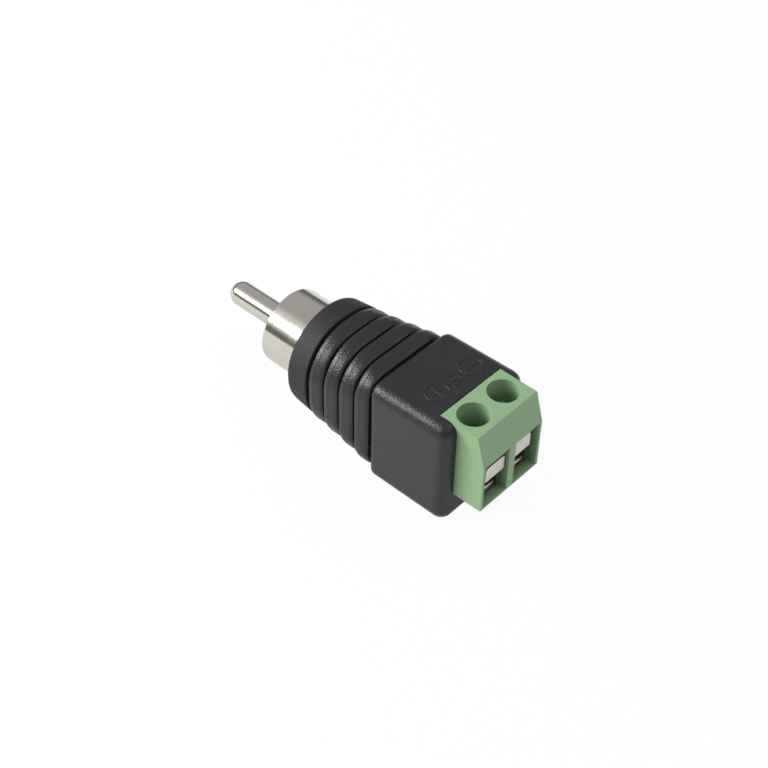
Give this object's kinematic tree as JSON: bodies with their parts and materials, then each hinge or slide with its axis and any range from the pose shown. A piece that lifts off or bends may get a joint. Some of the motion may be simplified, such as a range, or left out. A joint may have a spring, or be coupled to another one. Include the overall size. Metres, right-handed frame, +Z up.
{
  "type": "rca plug with screw terminal",
  "caption": "Male RCA plug in a ribbed black moulding that carries a green two-pole screw terminal for bare wires.",
  "frame": {"origin": "on the plug's axis, in the front face of the moulded body that the sleeve stands out of", "axes": "+X along the plug's axis, out of its mating end; +Z up through the clamp screws; +Y to the plus pole"},
  "size_m": [0.0448, 0.0138, 0.015],
  "materials": {
    "black_pvc": "satin black moulded PVC",
    "nickel_plate": "nickel plated, fine turning marks",
    "insulator_plastic": "black moulded plastic",
    "green_polyamide": "semi-matt pale green moulded polyamide",
    "tinned_brass": "tin plated",
    "tinned_copper": "tinned",
    "stainless_leaf": "rolled stainless strip",
    "zinc_steel": "zinc plated steel"
  },
  "bodies": {
    "plug": {"moulded_body": "black_pvc", "ground_sleeve": "nickel_plate", "insulator": "insulator_plastic", "centre_pin": "nickel_plate", "terminal_housing": "green_polyamide", "clamp_frame_left": "tinned_brass", "clamp_frame_right": "tinned_brass", "plus_lead": "tinned_copper", "minus_lead": "tinned_copper"},
    "guard_left": {"wire_guard_left": "stainless_leaf"},
    "screw_left": {"clamp_screw_left": "zinc_steel"},
    "guard_right": {"wire_guard_right": "stainless_leaf"},
    "screw_right": {"clamp_screw_right": "zinc_steel"}
  },
  "joints": [
    {"name": "left_guard_travel", "type": "slide", "parent": "plug", "child": "guard_left", "axis": [0, 0, 1], "range_m": [-0.0021, 0.0005]},
    {"name": "left_screw_turn", "type": "hinge", "parent": "guard_left", "child": "screw_left", "pos_m": [-0.02471, 0.00254, 0], "axis": [0, 0, 1], "range_deg": [-1513, 361]},
    {"name": "right_guard_travel", "type": "slide", "parent": "plug", "child": "guard_right", "axis": [0, 0, 1], "range_m": [-0.0024, 0.0002]},
    {"name": "right_screw_turn", "type": "hinge", "parent": "guard_right", "child": "screw_right", "pos_m": [-0.02471, -0.00254, 0], "axis": [0, 0, 1], "range_deg": [-1729, 145]}
  ],
  "couplings": [
    {"joint": "left_screw_turn", "follows": "left_guard_travel", "rad_per_m": 12566},
    {"joint": "right_screw_turn", "follows": "right_guard_travel", "rad_per_m": 12566}
  ]
}
